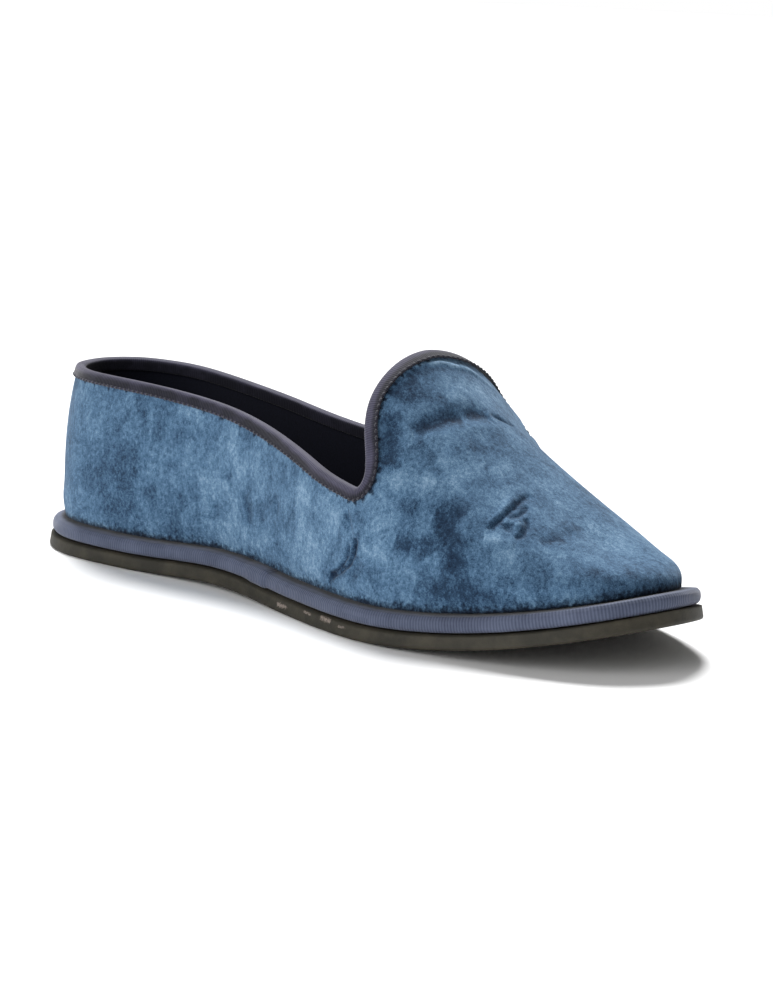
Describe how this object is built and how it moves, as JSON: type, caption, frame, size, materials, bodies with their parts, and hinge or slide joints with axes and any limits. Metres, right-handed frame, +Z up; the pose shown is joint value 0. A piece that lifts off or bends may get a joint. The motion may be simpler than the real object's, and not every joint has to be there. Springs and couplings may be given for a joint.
{
  "type": "slip-on velvet slipper loafer",
  "caption": "Left velvet house slipper with a high round tongue, side notches, ribbon-bound collar, tape-wrapped midsole and stitched flat rubber outsole",
  "frame": {"origin": "on the floor, under the middle of the sole's bounding box", "axes": "+X to the toe, +Y to the outer side of this left foot, +Z up"},
  "size_m": [0.29, 0.1056, 0.0886],
  "materials": {
    "outsole_rubber": "matt, lightly scuffed",
    "midsole_tape": "fine ribbed tape",
    "lining_cloth": "smooth dark cloth",
    "velvet": "crushed blue velvet",
    "binding_tape": "fine ribbed tape"
  },
  "bodies": {
    "root": {"outsole": "outsole_rubber", "wrapped_midsole": "midsole_tape", "insole": "lining_cloth", "upper": "velvet", "collar_binding": "binding_tape"}
  },
  "joints": []
}
